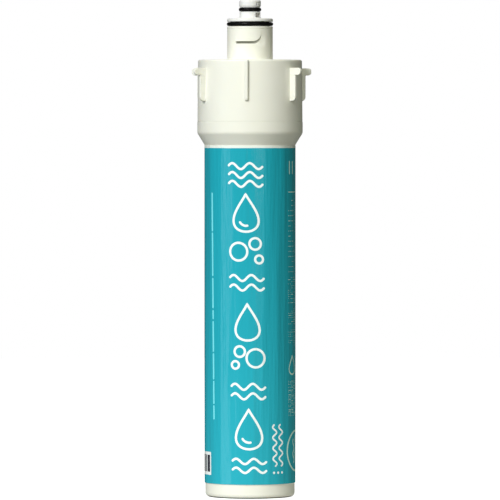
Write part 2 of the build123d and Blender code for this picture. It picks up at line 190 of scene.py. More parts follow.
# %% A helper for node materials
class Finish:
    """A node material, with `add` to place a node and `join` to link two sockets."""

    def __init__(self, name, **constants):
        self.made = bpy.data.materials.new(name)
        self.made.use_nodes = True
        self.tree = self.made.node_tree
        self.shader = self.tree.nodes["Principled BSDF"]
        self.place = self.add("ShaderNodeTexCoord").outputs["Object"]
        for socket, value in constants.items():
            self.shader.inputs[socket.replace("_", " ")].default_value = value

    def add(self, kind, settings=None, **values):
        """Add a node. Settings are its own choices, values go to its input sockets by name."""
        node = self.tree.nodes.new(kind)
        for key, value in (settings or {}).items():
            setattr(node, key, value)
        for key, value in values.items():
            node.inputs[key.replace("_", " ")].default_value = value
        return node

    def join(self, source, target):
        """Link an output socket to an input socket."""
        self.tree.links.new(source, target)

    def stretched(self, scale):
        """Object coordinates multiplied along X, Y and Z."""
        mapping = self.add("ShaderNodeMapping", Scale=scale)
        self.join(self.place, mapping.inputs["Vector"])
        return mapping.outputs["Vector"]

    def noise(self, scale, detail=2.0, rough=0.5, place=None):
        """Soft random values from 0 to 1, whose features are about 1 / scale metres wide."""
        node = self.add("ShaderNodeTexNoise", Scale=scale, Detail=detail, Roughness=rough)
        self.join(place or self.place, node.inputs["Vector"])
        return node.outputs["Fac"]

    def number(self, operation, first, second=0.0, third=None):
        """One sum of arithmetic. A number goes into its socket and a socket is linked."""
        node = self.add("ShaderNodeMath", {"operation": operation})
        for index, value in enumerate((first, second, third)):
            if isinstance(value, bpy.types.NodeSocket):
                self.join(value, node.inputs[index])
            elif value is not None:
                node.inputs[index].default_value = value
        return node.outputs[0]

    def spread(self, value, low, high, from_low=0.3, from_high=0.7):
        """Carry a value from one range to another, and clamp it there."""
        node = self.add("ShaderNodeMapRange", From_Min=from_low, From_Max=from_high,
                        To_Min=low, To_Max=high)
        self.join(value, node.inputs["Value"])
        return node.outputs["Result"]

    def blend(self, factor, first, second):
        """Mix two colours, each a tuple or a socket."""
        node = self.add("ShaderNodeMix", {"data_type": "RGBA"})
        self.join(factor, node.inputs["Factor"])
        for socket, value in ((node.inputs[6], first), (node.inputs[7], second)):
            if isinstance(value, bpy.types.NodeSocket):
                self.join(value, socket)
            else:
                socket.default_value = (*value, 1)
        return node.outputs[2]

    def relief(self, height, distance, strength=1.0, onto=("Normal",)):
        """Turn a height into surface bumps, `distance` metres deep."""
        node = self.add("ShaderNodeBump", Distance=distance, Strength=strength)
        self.join(height, node.inputs["Height"])
        for socket in onto:
            self.join(node.outputs["Normal"], self.shader.inputs[socket])

    def colour(self, socket):
        """Give the surface its colour."""
        self.join(socket, self.shader.inputs["Base Color"])

    def roughness(self, socket):
        """Give the surface its roughness."""
        self.join(socket, self.shader.inputs["Roughness"])


print("finish helper ready")

# %% [markdown]
# The canister and head are moulded in unpigmented polypropylene. It is cream, not quite opaque,
# and its skin is satin with a very fine grain. A broad, faint noise varies the tone, as uneven
# wall thickness does, a fine one makes the grain, and a little subsurface light softens edges.

# %% Moulded plastics
CREAM = (0.865, 0.86, 0.775), (0.835, 0.83, 0.735)
FLOW_MARKS = (70, 70, 9)
CLOUD_SHARE, FLOW_RELIEF = 0.6, 1.4
GRAIN_FINENESS, GRAIN_DEPTH = 2600, 0.00003
GLOW_DEPTH, GLOW_COLOUR = 0.004, (1.0, 0.8, 0.5)


def moulded_finish(name, light, shade, gloss=(0.34, 0.44), glow=0.08):
    """Moulded plastic: two close tones, a satin skin with fine grain, and faint flow marks."""
    made = Finish(name, Subsurface_Weight=glow, Subsurface_Scale=GLOW_DEPTH)
    made.shader.inputs["Subsurface Radius"].default_value = GLOW_COLOUR
    cloud = made.noise(28, 3)
    flow = made.noise(1.0, 2, place=made.stretched(FLOW_MARKS))
    tone = made.number("ADD", made.number("MULTIPLY", cloud, CLOUD_SHARE),
                       made.number("MULTIPLY", flow, 1 - CLOUD_SHARE))
    made.colour(made.blend(made.spread(tone, 0, 1), light, shade))
    made.roughness(made.spread(flow, *gloss))
    grain = made.noise(GRAIN_FINENESS, 2)
    skin = made.number("ADD", grain, made.number("MULTIPLY", flow, FLOW_RELIEF))
    made.relief(skin, GRAIN_DEPTH, 0.6)
    return made


def moulded(name, *tones, **choices):
    """The material of a moulded finish."""
    return moulded_finish(name, *tones, **choices).made


finishes = {
    "cream_plastic": moulded("cream_polypropylene", *CREAM),
    "white_plastic": moulded("white_polypropylene", (0.82, 0.82, 0.80), (0.78, 0.78, 0.755)),
    "inner_plastic": moulded("inner_polypropylene", (0.88, 0.88, 0.86), (0.84, 0.84, 0.81)),
    "core_plastic": moulded("core_resin", (0.80, 0.80, 0.76), (0.74, 0.74, 0.69), (0.3, 0.5)),
    "valve_plastic": moulded("valve_resin", (0.78, 0.80, 0.82), (0.72, 0.74, 0.77), (0.3, 0.4)),
    "poppet_plastic": moulded("poppet_resin", (0.20, 0.35, 0.60), (0.16, 0.30, 0.54),
                              (0.28, 0.4), glow=0.02),
}
print("moulded finishes:", sorted(finishes))

# %% [markdown]
# The O-rings are greased nitrile rubber. Rubber is nearly black, with a soft sheen where the
# grease lies and matt where it has gone, so one noise drives both tone and roughness.

# %% Rubber
def rubber(name, black, worn, gloss, sheen=0.5):
    """Nitrile rubber: near black, uneven sheen, and the faint bloom of grease and dust."""
    made = Finish(name, Specular_IOR_Level=sheen)
    patch = made.noise(420, 4)
    made.colour(made.blend(made.spread(patch, 0, 1), black, worn))
    made.roughness(made.spread(patch, *gloss))
    made.relief(made.noise(3000, 3), 0.00002, 0.5)
    return made.made


finishes["black_rubber"] = rubber("greased_rubber", (0.002, 0.002, 0.002), (0.006, 0.006, 0.006),
                                  (0.22, 0.36), sheen=0.1)
finishes["seal_rubber"] = rubber("seal_rubber", (0.018, 0.018, 0.02), (0.045, 0.045, 0.05),
                                 (0.45, 0.65))
print("rubbers ready")

# %% [markdown]
# Inside, the roll is made of sheets: smooth membrane, finely knitted carrier, a diamond net and
# a tape shell. A knit or a net follows the sheet round the roll, so their pattern needs the
# distance round the roll, which is the angle about Z times a radius. Two sets of wave lines on
# that distance and on the height make threads that cross.

# %% Sheets of the roll
def round_distance(made, radius):
    """Distance round the roll, from the angle of a point about Z, and its height, in metres."""
    split = made.add("ShaderNodeSeparateXYZ")
    made.join(made.place, split.inputs["Vector"])
    angle = made.number("ARCTAN2", split.outputs["Y"], split.outputs["X"])
    return made.number("MULTIPLY", angle, radius), split.outputs["Z"]


def threads(made, along, pitch):
    """Round ridges, one for each pitch, as the sine of the distance, from 0 to 1."""
    turn = made.number("MULTIPLY", along, 2 * np.pi / pitch)
    return made.number("MULTIPLY_ADD", made.number("SINE", turn), 0.5, 0.5)


def crossed(name, light, shade, pitch, slope, bump, gloss, radius=0.025):
    """Threads that cross: lines along distance plus slope times height, and minus it."""
    made = Finish(name)
    about, height = round_distance(made, radius)
    lean = made.number("MULTIPLY", height, slope)
    one = threads(made, made.number("ADD", about, lean), pitch)
    other = threads(made, made.number("SUBTRACT", about, lean), pitch)
    high = made.number("MAXIMUM", one, other)
    made.colour(made.blend(made.spread(high, 0, 1, 0.35, 0.85), shade, light))
    made.shader.inputs["Roughness"].default_value = gloss
    made.relief(high, bump)
    return made.made


KNIT_PITCH, NET_PITCH, SCREEN_PITCH = 0.0006, 0.0026, 0.0005
finishes["carrier_knit"] = crossed("carrier_knit", (0.93, 0.93, 0.90), (0.70, 0.70, 0.66),
                                   KNIT_PITCH, slope=0.6, bump=0.00012, gloss=0.75)
finishes["spacer_net"] = crossed("spacer_net", (0.80, 0.84, 0.86), (0.42, 0.46, 0.49),
                                 NET_PITCH, slope=1.0, bump=0.0005, gloss=0.35)
finishes["screen_mesh"] = crossed("woven_screen", (0.82, 0.79, 0.76), (0.50, 0.47, 0.45),
                                  SCREEN_PITCH, slope=1.0, bump=0.00008, gloss=0.5,
                                  radius=0.008)
finishes["membrane_sheet"] = moulded("membrane_skin", (0.90, 0.88, 0.80), (0.86, 0.83, 0.73),
                                     (0.2, 0.3), glow=0.02)


TAPE_RADIUS, TAPE_CLIMB, TAPE_WIDTH, TAPE_EDGE = 0.0348, 0.23, 0.0503, 0.025


def wound_tape(name, light, shade):
    """Tape wound in a steep helix: a thin dark line at each lap, and fine stretch marks."""
    made = Finish(name, Coat_Weight=0.4, Coat_Roughness=0.12)
    about, height = round_distance(made, TAPE_RADIUS)
    climbed = made.number("ADD", height, made.number("MULTIPLY", about, TAPE_CLIMB))
    lap = made.number("FRACT", made.number("MULTIPLY", climbed, 1 / TAPE_WIDTH))
    edge = made.number("LESS_THAN", lap, TAPE_EDGE)
    stretch = made.noise(1.0, 3, place=made.stretched((30, 30, 700)))
    tone = made.blend(made.spread(stretch, 0, 1), light, shade)
    made.colour(made.blend(edge, tone, tuple(0.4 * v for v in shade)))
    made.roughness(made.spread(stretch, 0.25, 0.42))
    made.relief(made.number("ADD", made.number("MULTIPLY", lap, 0.5), stretch), 0.00008)
    return made.made


finishes["wrap_tape"] = wound_tape("blue_wrap_tape", (0.10, 0.30, 0.60), (0.07, 0.24, 0.52))


def drawn_wire(name):
    """Drawn stainless wire: bright metal with fine marks that run round the coil."""
    made = Finish(name, Metallic=1.0)
    drawn = made.noise(1.0, 3, place=made.stretched((300, 300, 6000)))
    made.colour(made.blend(made.spread(drawn, 0, 1), (0.66, 0.66, 0.68), (0.50, 0.50, 0.52)))
    made.roughness(made.spread(drawn, 0.22, 0.38))
    made.relief(drawn, 0.00001)
    return made.made


finishes["spring_wire"] = drawn_wire("drawn_wire")
print("roll finishes ready:", len(finishes))

# %% [markdown]
# The tubes, seals, caps and sheets of the frame already have their final shape, so they only
# get a finish, each by the slot that the record names for it. The label's film is made further
# down, and a new piece takes its node's place, so until then that node is simply cream.

# %% Give every CAD node its finish
node_slots = {row["node"]: row["material_slot"] for row in frame["record"]["subparts"]}
for name, node in nodes.items():
    if not node.material_slots:
        node.data.materials.append(None)
    for place in node.material_slots:
        place.material = finishes.get(node_slots[name], finishes["cream_plastic"])
print("finished nodes:", len(node_slots))

# %% [markdown]
# New pieces are grids of points. A grid has rows and columns, every four neighbours make a
# face, and a ring of columns or rows is closed by joining the last to the first. A closed
# surface has a volume: when its sign is negative the faces look inwards, so they are reversed.

# %% Grids of points to meshes
def grid_faces(rows, columns, close_rows, close_columns):
    """Faces between neighbours of a grid, as point numbers, counting row by row."""
    number = np.arange(rows * columns).reshape(rows, columns)
    if close_rows:
        number = np.concatenate([number, number[:1]], axis=0)
    if close_columns:
        number = np.concatenate([number, number[:, :1]], axis=1)
    corners = [number[:-1, :-1], number[:-1, 1:], number[1:, 1:], number[1:, :-1]]
    return np.stack(corners, axis=-1).reshape(-1, 4)


def volume(points, faces):
    """Signed volume: a sum over triangles of a point dotted with the cross of two others."""
    a, b, c, d = (points[faces[:, k]] for k in range(4))
    first = np.einsum("ij,ij->i", a, np.cross(b, c)).sum()
    return (first + np.einsum("ij,ij->i", a, np.cross(c, d)).sum()) / 6


def make_piece(name, shapes, finish, smooth_angle=None):
    """Make one object from closed shapes, each its points in mm and its faces.

    Every new piece rides on the cartridge, because the moving poppet keeps its CAD shape.
    """
    points, faces, start = [], [], 0
    for shape_points, shape_faces in shapes:
        flat = shape_points.reshape(-1, 3) * MM
        order = shape_faces if volume(flat, shape_faces) > 0 else shape_faces[:, ::-1]
        points.append(flat)
        faces.append(order + start)
        start += len(flat)
    mesh = bpy.data.meshes.new(name)
    mesh.from_pydata(np.concatenate(points).tolist(), [], np.concatenate(faces).tolist())
    mesh.polygons.foreach_set("use_smooth", np.ones(len(mesh.polygons), bool))
    if smooth_angle is not None:
        mesh.set_sharp_from_angle(angle=np.radians(smooth_angle))
    mesh.materials.append(finish)
    piece = bpy.data.objects.new(name, mesh)
    scene.collection.objects.link(piece)
    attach(piece, "cartridge")
    low, high = np.concatenate(points).min(0) / MM, np.concatenate(points).max(0) / MM
    print(name, "faces", len(mesh.polygons), "from", low.round(2), "to", high.round(2))
    return piece


def ease(value):
    """Smooth step: 0 below 0, 1 above 1, and 3v² - 2v³ between."""
    held = np.clip(value, 0, 1)
    return held * held * (3 - 2 * held)


print("a closed grid of 3 by 4 points has", len(grid_faces(3, 4, True, True)), "faces")

# %% [markdown]
# A moulded shape of revolution is a section turned about an axis. The section is a chain of
# straight runs with rounded corners. Two extra points beside each rounding keep the shading of
# a flat run flat, which matters more than many points along it.

# %% Rounded sections and turned surfaces
ARC_POINTS = 7
BESIDE = 0.12


def rounded(corners):
    """Points along a closed chain of corners (radius, height, rounding, step).

    With unit directions d in and e out of a corner, and n square to d on the side it turns to,
    the arc is start + rounding * (sin(angle) * d + (1 - cos(angle)) * n), and it starts
    rounding * tan(turn / 2) before the corner. Step is the spacing along the run that follows.
    """
    table = np.array(corners, float)
    spots, rounding, step = table[:, :2], table[:, 2], table[:, 3]
    runs = np.roll(spots, -1, axis=0) - spots
    out_way = runs / np.linalg.norm(runs, axis=1, keepdims=True)
    in_way = np.roll(out_way, 1, axis=0)
    side = in_way[:, 0] * out_way[:, 1] - in_way[:, 1] * out_way[:, 0]
    turn = np.arctan2(np.abs(side), (in_way * out_way).sum(1))
    square = np.sign(side)[:, None] * np.stack([-in_way[:, 1], in_way[:, 0]], axis=-1)
    start = spots - (rounding * np.tan(turn / 2))[:, None] * in_way
    angle = np.linspace(0, 1, ARC_POINTS)[None, :] * turn[:, None]
    arcs = start[:, None] + rounding[:, None, None] * (
        np.sin(angle)[..., None] * in_way[:, None]
        + (1 - np.cos(angle))[..., None] * square[:, None]
    )
    chain = []
    for index, arc in enumerate(arcs):
        after = arcs[(index + 1) % len(arcs)][0]
        length = np.linalg.norm(after - arc[-1])
        chain.append(arc if rounding[index] > 0 else arc[:1])
        if length > 3 * BESIDE:
            count = max(2, int(np.ceil((length - 2 * BESIDE) / step[index])) + 1)
            along = np.linspace(BESIDE, length - BESIDE, count) / length
            chain.append(arc[-1] + along[:, None] * (after - arc[-1]))
    return np.concatenate(chain)


def turned(section, columns):
    """Turn a closed section of (radius, height) about Z: x = r cos t, y = r sin t, z = h."""
    turn = np.linspace(0, 2 * np.pi, columns, endpoint=False)[None, :]
    radius, height = section[:, :1], section[:, 1:]
    points = np.stack([
        radius * np.cos(turn), radius * np.sin(turn), height + 0 * turn,
    ], axis=-1)
    return points, grid_faces(len(section), columns, True, True)


square = [(10, 0, 2, 1), (20, 0, 2, 1), (20, 10, 2, 1), (10, 10, 2, 1)]
print("a rounded square of 10 mm has", len(rounded(square)), "points")

# %% [markdown]
# The head is one moulding: a collar that is welded to the canister, a flat top plate, and a
# neck. Two twist-in slots are sunk into the neck. Each is a level groove that opens at its
# right into a hollow, whose ceiling sweeps up and whose floor dies out into the neck. Boolean
# cuts would leave hard corners there, so the slots are a depth taken off the neck's radius.
# Painted shade darkens the groove under its ceiling, where its shadow falls, so each point also
# carries a share of painted shade, which the head's finish reads as an attribute.

# %% Head: collar, plate and neck with its slots
SEAM, PLATE_TOP, NECK_TOP = 340.0, 396.0, 430.6
COLLAR_LOW, COLLAR_HIGH, NECK = 47.6, 47.1, 20.6
RIBS = (FRONT, FRONT + np.pi)
SLOT_BAND = (404.0, 423.6)
HEAD_COLUMNS = 376

head_section = rounded([
    # the tail that stands inside the canister, the weld seam and the foot of the collar
    (41.9, 332.5, 0.5, 6), (44.6, 332.5, 0.5, 6), (44.6, SEAM, 0, 3),
    (COLLAR_LOW - 0.3, SEAM, 0.1, 3), (COLLAR_LOW, SEAM + 0.35, 0.25, 2.5),
    # the collar's top edge, the top plate and the neck, with close rows where the slots are
    (COLLAR_HIGH, PLATE_TOP, 1.7, 2.5), (NECK, PLATE_TOP, 1.3, 2.0),
    (NECK, SLOT_BAND[0], 0, 0.28), (NECK, SLOT_BAND[1], 0, 1),
    # a fine groove, the neck's rim and the step that the flange covers
    (NECK - 0.3, 424.0, 0.1, 1), (NECK + 0.1, 424.4, 0.1, 1), (NECK + 0.1, 426.2, 0.3, 1),
    (17.5, 426.2, 0.15, 1), (17.5, NECK_TOP, 0, 2), (15.6, NECK_TOP, 0, 5),
    # back down inside: the neck's bore, the plate's underside and the collar's inner wall
    (15.6, 392.4, 1.5, 6), (43.9, 392.4, 4.0, 8), (44.4, 345.0, 0, 3), (41.9, SEAM, 0, 4),
])


# %% Head: the twist-in slots
SLOT_LEVEL, SLOT_DEPTH, SLOT_EDGE, SLOT_HALF = 411.5, 2.0, 0.3, 1.0
GROOVE_START, BEND, LIP = -36.0, 11.0, 33.0
CEILING_RISE, SILL_DROP, SILL_BLUR = 6.9, 1.7, 4.4
FADE_LEVEL, FADE_HEIGHT, FADE_TURN = 413.5, 8.0, 16.0
SHALLOWING = 0.6
# height, soft edge and thinning of the painted shade under each groove's ceiling
GROOVE_SHADE_HEIGHT, GROOVE_SHADE_EDGE, GROOVE_SHADE_LOSS = 2.2, 0.6, 0.45


def ramp(value, start, length):
    """A smooth step that leaves 0 at start and reaches 1 a length further on."""
    return ease((value - start) / length)


def edge(value, middle, width=SLOT_EDGE):
    """A smooth step with its half-way point at middle, and its whole rise within a width."""
    return ease((value - middle) / width + 0.5)


def carve_slot(turn, height):
    """Depth of a slot and its share of painted shade, by the angle to the right of its rib in
    degrees and the height in mm.

    The groove's ceiling is level up to the bend, then a quarter ellipse that ends upright at
    the lip. Its sill is level, then drops and blurs. Past the lip the hollow fades upwards and
    sideways with smooth steps. Painted shade, standing for the ceiling's shadow, lies in a band
    under the ceiling, and thins to the lip.
    """
    across = np.radians(turn) * NECK
    groove, bend, lip = (np.radians(place) * NECK for place in (GROOVE_START, BEND, LIP))
    reach = np.clip((across - bend) / (lip - bend), 0, 1)
    ceiling = SLOT_LEVEL + SLOT_HALF + CEILING_RISE * (1 - np.sqrt(1 - reach ** 2))
    sill = SLOT_LEVEL - SLOT_HALF - SILL_DROP * ramp(turn, 6.0, 28.0)
    blur = SLOT_EDGE + SILL_BLUR * ramp(turn, -6.0, 34.0)
    opened = edge(across, groove) * edge(height, sill, blur)
    past = edge(across, lip)
    fading = (1 - ramp(height, FADE_LEVEL, FADE_HEIGHT)) * (1 - ramp(turn, LIP, FADE_TURN))
    carved = opened * edge(ceiling, height) * (1 - past)
    depth = SLOT_DEPTH * (1 - SHALLOWING * ramp(turn, 2.0, 30.0))
    # painted shade: a dark band under the ceiling, standing for its shadow
    groove_shade = edge(height, ceiling - GROOVE_SHADE_HEIGHT, GROOVE_SHADE_EDGE) * (1 - GROOVE_SHADE_LOSS * reach)
    return depth * (carved + opened * fading * past), carved * groove_shade


print("groove depth at the rib, in mm:", float(carve_slot(0.0, SLOT_LEVEL)[0]))


# %% Head: shell and its finish
def head_surface():
    """Turn the head's section, and take the slots' depth off the radius of the neck."""
    points, faces = turned(head_section, HEAD_COLUMNS)
    angle = np.linspace(0, 360, HEAD_COLUMNS, endpoint=False)[None, :]
    height = head_section[:, 1:]
    slots = [carve_slot((angle - np.degrees(rib) + 180) % 360 - 180, height) for rib in RIBS]
    on_neck = (head_section[:, :1] == NECK) & (height > SLOT_BAND[0]) & (height < SLOT_BAND[1])
    depth, painted_shade = (np.where(on_neck, front + back, 0) for front, back in zip(*slots))
    points[..., :2] *= (1 - depth / head_section[:, :1])[..., None]
    return points, faces, painted_shade


# the colour of the painted shade in the slots' grooves
GROOVE_SHADE_COLOUR = (0.2, 0.2, 0.15)


def paint_slot_shade(made):
    """Paint shade on the skin where the piece's attribute says so: the shadow in the grooves."""
    share = made.add("ShaderNodeAttribute", {"attribute_name": "painted_shade"}).outputs["Fac"]
    clean = made.shader.inputs["Base Color"].links[0].from_socket
    made.colour(made.blend(share, clean, GROOVE_SHADE_COLOUR))
    return made.made


# the head's finish paints shade into the slots' grooves from a point attribute
finishes["head_plastic"] = paint_slot_shade(moulded_finish("head_polypropylene", *CREAM))
head_points, head_faces, head_painted_shade = head_surface()
head_shell = make_piece("head_shell", [(head_points, head_faces)], finishes["head_plastic"])
# each point's share of painted groove shade is kept as an attribute
painted_shade_layer = head_shell.data.attributes.new("painted_shade", "FLOAT", "POINT")
painted_shade_layer.data.foreach_set("value", np.ascontiguousarray(head_painted_shade).ravel())

# %% [markdown]
# Two plain ribs and four eared fins stand on the collar: they guide the cartridge into its head
# and stop it at full turn. Each is a plate 2.7 mm thick with softened edges and a fillet at its
# foot. A profile of the plate's edge, from one root round the rim to the other root, is carried
# along the plate's outline.

# %% Head: ribs and eared fins
ROOT, RIB_OUT, FIN_OUT, EAR_OUT = 45.6, 50.0, 53.2, 58.9
FIN_LOW, EAR_LOW, EAR_HIGH = 358.5, 382.0, 388.5
HALF_THICK, EDGE_ROUND, FOOT_FILLET = 1.35, 0.5, 0.5
EAR_TURNS = (-113.0, -55.0, 55.0, 113.0)
ROOT_LINE, RIB_TOP = ROOT + 0.1, PLATE_TOP - 0.4
ROOT_TUCK, ROOT_SLANT = 0.8, 0.1
THIN_FOOT = 0.02
NEAR_FOOT, NEAR_RIM = 0.05, 0.95
PLATE_CREASE = 50


def open_chain(corners):
    """Points along an open chain of rounded corners: the closed chain without its last run."""
    chain = rounded(corners)
    last = np.array(corners[-1][:2], float)
    end = int(np.argmin(np.linalg.norm(chain - last, axis=1)))
    return chain[: end + 1]


def fin_plate(outline, angle):
    """One plate in the plane through the axis at an angle.

    The rows run from a root inside the collar over the foot's fillet, the flat side and a
    quarter circle to the rim, and the same way back on the other side. Each row is a line of
    (radius, height) along the outline and its distance off the plate's middle. Root and foot
    keep the outline's heights, tucked in at both ends, and slanted a little so that they stay
    apart where the outline runs level. Near the collar the fillet narrows.
    """
    ahead = np.gradient(outline, axis=0)
    ahead /= np.linalg.norm(ahead, axis=1, keepdims=True)
    inwards = np.stack([-ahead[:, 1], ahead[:, 0]], axis=-1)
    along = np.linspace(0, 1, len(outline))
    level = (outline[:, 1] - outline[0, 1]) / (outline[-1, 1] - outline[0, 1])
    low, high = outline[0, 1] + ROOT_TUCK, outline[-1, 1] - ROOT_TUCK
    root_height = low + (high - low) * ((1 - ROOT_SLANT) * level + ROOT_SLANT * along)
    collar_share = (root_height - SEAM) / (PLATE_TOP - SEAM)
    surface_radius = COLLAR_LOW + (COLLAR_HIGH - COLLAR_LOW) * collar_share

    quarter = np.linspace(0, np.pi / 2, 5)
    rim_in = EDGE_ROUND * (1 - np.sin(quarter))
    rim_off = HALF_THICK - EDGE_ROUND * (1 - np.cos(quarter))
    foot_out = FOOT_FILLET * (1 - np.cos(quarter))
    foot_off = HALF_THICK + FOOT_FILLET * (1 - np.sin(quarter))

    spare = np.clip((outline[:, 0] - surface_radius) / (2 * FOOT_FILLET), THIN_FOOT, 1)
    rows = [(np.stack([np.full(len(outline), ROOT), root_height], -1), foot_off[0])]
    rows += [(np.stack([surface_radius + out * spare, root_height], -1), off)
             for out, off in zip(foot_out, foot_off)]
    rim = [(outline + inwards * depth, off) for depth, off in zip(rim_in, rim_off)]
    foot_top, rim_start = rows[-1][0], rim[0][0]
    rows += [(foot_top + part * (rim_start - foot_top), HALF_THICK)
             for part in (NEAR_FOOT, NEAR_RIM)]
    rows += rim
    both = rows + [(spot, -off) for spot, off in rows[::-1]]
    spots = np.stack([spot for spot, off in both])
    offs = np.array([off for spot, off in both])[:, None] + 0 * spots[..., 0]
    ahead_x, ahead_y = np.cos(angle), np.sin(angle)
    points = np.stack([
        spots[..., 0] * ahead_x - offs * ahead_y,
        spots[..., 0] * ahead_y + offs * ahead_x,
        spots[..., 1],
    ], axis=-1)
    faces = grid_faces(len(both), len(outline), True, False)
    ends = closing_faces(len(both), len(outline))
    return points, np.concatenate([faces, ends])


def closing_faces(rows, columns):
    """Close both open ends of a tube of rows with strips between facing rows."""
    number = np.arange(rows * columns).reshape(rows, columns)
    half = rows // 2
    near, far = number[:half], number[::-1][:half]
    strips = []
    for column, flip in ((0, 1), (columns - 1, -1)):
        strip = np.stack([
            near[:-1, column], far[:-1, column], far[1:, column], near[1:, column],
        ], axis=-1)
        strips.append(strip[:, ::flip])
    return np.concatenate(strips)


rib_outline = open_chain([
    (ROOT_LINE, FIN_LOW, 0, 1.0), (RIB_OUT, FIN_LOW, 2.5, 2.0),
    (RIB_OUT, RIB_TOP, 1.2, 1.0), (ROOT_LINE, RIB_TOP, 0, 1.0),
])
ear_outline = open_chain([
    (ROOT_LINE, FIN_LOW, 0, 1.0), (FIN_OUT, FIN_LOW, 4.0, 2.0), (FIN_OUT, EAR_LOW, 0.9, 0.7),
    (EAR_OUT, EAR_LOW, 3.1, 0.7), (EAR_OUT, EAR_HIGH, 2.8, 0.7), (ROOT_LINE, EAR_HIGH, 0, 1.0),
])
head_ribs = make_piece("head_ribs", [fin_plate(rib_outline, rib) for rib in RIBS],
                       finishes["cream_plastic"], smooth_angle=PLATE_CREASE)
head_fins = make_piece(
    "head_fins", [fin_plate(ear_outline, FRONT + np.radians(turn)) for turn in EAR_TURNS],
    finishes["cream_plastic"], smooth_angle=PLATE_CREASE,
)
for piece in (head_shell, head_ribs, head_fins):
    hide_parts("head_cap")

# %% [markdown]
# Where the head is welded to the canister, a little melt is pressed out as a thin bead. Its
# width wanders, so the bead's section grows and shrinks with a few sines round the seam. Under
# the base, the point where the mould was filled leaves a short broken-off gate mark.

# %% Weld bead and gate mark
BEAD_RADIUS, BEAD_OUT, BEAD_UP = COLLAR_LOW - 0.42, 0.14, 0.16
BEAD_SIDES, BEAD_STEPS = 12, 360
GATE_SIDES = 32


def weld_bead():
    """A ring of elliptical section, whose size follows a sum of sines of the angle."""
    turn = np.linspace(0, 2 * np.pi, BEAD_STEPS, endpoint=False)[None, :]
    about = np.linspace(0, 2 * np.pi, BEAD_SIDES, endpoint=False)[:, None]
    swell = 1 + 0.1 * np.sin(7 * turn) + 0.08 * np.sin(17 * turn + 1) + 0.06 * np.sin(41 * turn)
    radius = BEAD_RADIUS + BEAD_OUT * swell * np.cos(about)
    height = SEAM + BEAD_UP * swell * np.sin(about)
    points = np.stack([radius * np.cos(turn), radius * np.sin(turn), height], axis=-1)
    return points, grid_faces(BEAD_SIDES, BEAD_STEPS, True, True)


def gate_mark():
    """A stub turned about Z from a short section in mm. Two sines of the angle make its broken
    lower edge ragged."""
    section = np.array([
        (0.02, 1.6), (2.4, 1.6), (2.2, 1.32), (1.5, 1.1), (1.15, 0.62), (0.7, 0.5), (0.02, 0.56),
    ])
    points, faces = turned(section, GATE_SIDES)
    turn = np.linspace(0, 2 * np.pi, GATE_SIDES, endpoint=False)
    points[4:6, :, 2] += 0.09 * np.sin(3 * turn) + 0.05 * np.sin(5 * turn + 1)
    return points, faces


for name, shape in (("seam_bead", weld_bead()), ("base_gate_mark", gate_mark())):
    make_piece(name, [shape], finishes["cream_plastic"])

# %% [markdown]
# The non-return valve holds the only moving part, a poppet that lifts 2.5 mm against a light
# spring. The spring is a wire along a helix whose end coils lie closer together.

# %% Valve spring
WIRE, COIL, TURNS = 0.3, 2.5, 5.5
SPRING_PLATE, SPRING_FOOT, LIFT = 339.0, 329.44, 2.5
COIL_CLOSING, PLATE_GAP = 0.07, 0.04
WIRE_CREASE = 60


def spring_wire(steps=320, sides=12):
    """A ring of points about each point of a helix, square to the way that the wire runs.

    With s from 0 to 1, the height is the foot plus the length times (s - c sin(2 pi s)), so the
    pitch is least at both ends. The ring uses the direction away from the axis, and the cross
    product of that with the wire's own direction.
    """
    share = np.linspace(0, 1, steps)
    turn = 2 * np.pi * TURNS * share
    length = SPRING_PLATE - SPRING_FOOT - 2 * WIRE - PLATE_GAP
    rise = length * (share - COIL_CLOSING * np.sin(2 * np.pi * share))
    spine = np.stack([COIL * np.cos(turn), COIL * np.sin(turn), SPRING_FOOT + WIRE + rise], -1)
    ahead = np.gradient(spine, axis=0)
    ahead /= np.linalg.norm(ahead, axis=1, keepdims=True)
    outward = np.stack([np.cos(turn), np.sin(turn), 0 * turn], axis=-1)
    outward -= (outward * ahead).sum(1, keepdims=True) * ahead
    third = np.cross(ahead, outward)
    about = np.linspace(0, 2 * np.pi, sides, endpoint=False)[None, :, None]
    points = spine[:, None] + WIRE * (
        np.cos(about) * outward[:, None] + np.sin(about) * third[:, None]
    )
    low = np.arange(sides // 2 - 1)
    cap = np.stack([low, low + 1, sides - 2 - low, sides - 1 - low], axis=-1)
    ends = np.concatenate([cap[:, ::-1], cap + sides * (steps - 1)])
    return points, np.concatenate([grid_faces(steps, sides, False, True), ends])


coil_spring = make_piece("coil_spring", [spring_wire()], finishes["spring_wire"],
                         smooth_angle=WIRE_CREASE)
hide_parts("valve_spring")
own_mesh(coil_spring)

# %% [markdown]
# The label is a clear laminated film, printed on its back in turquoise and wrapped once round
# the barrel. Its outer ply laps over the inner one behind, on the right: there the surface
# steps up by one film and sinks back where the inner ply ends. The print stops short of the
# top edge and leaves a clear margin.

# %% Label film
FILM_IN, FILM_OUT, FILM_PLY, FILM_EDGE = 41.16, 41.30, 0.12, 0.05
FILM_LOW, FILM_HIGH = 12.9, 318.2
LAP_START, LAP_END, LAP_SINK = np.radians(150.0), np.radians(166.0), 0.25
LAP_EDGE = np.radians(0.03)
FILM_STEPS, FILM_CREASE = 360, 40
MARGIN_START = 316.45


def film_surface(angle):
    """Outer radius of the film: a full ply higher from the lap's edge, and easing back down
    over the last quarter of the lap."""
    past = (angle - FRONT - LAP_START) % (2 * np.pi) / (LAP_END - LAP_START)
    return FILM_OUT + FILM_PLY * np.where(past <= 1, 1 - ramp(past, 1 - LAP_SINK, LAP_SINK), 0)


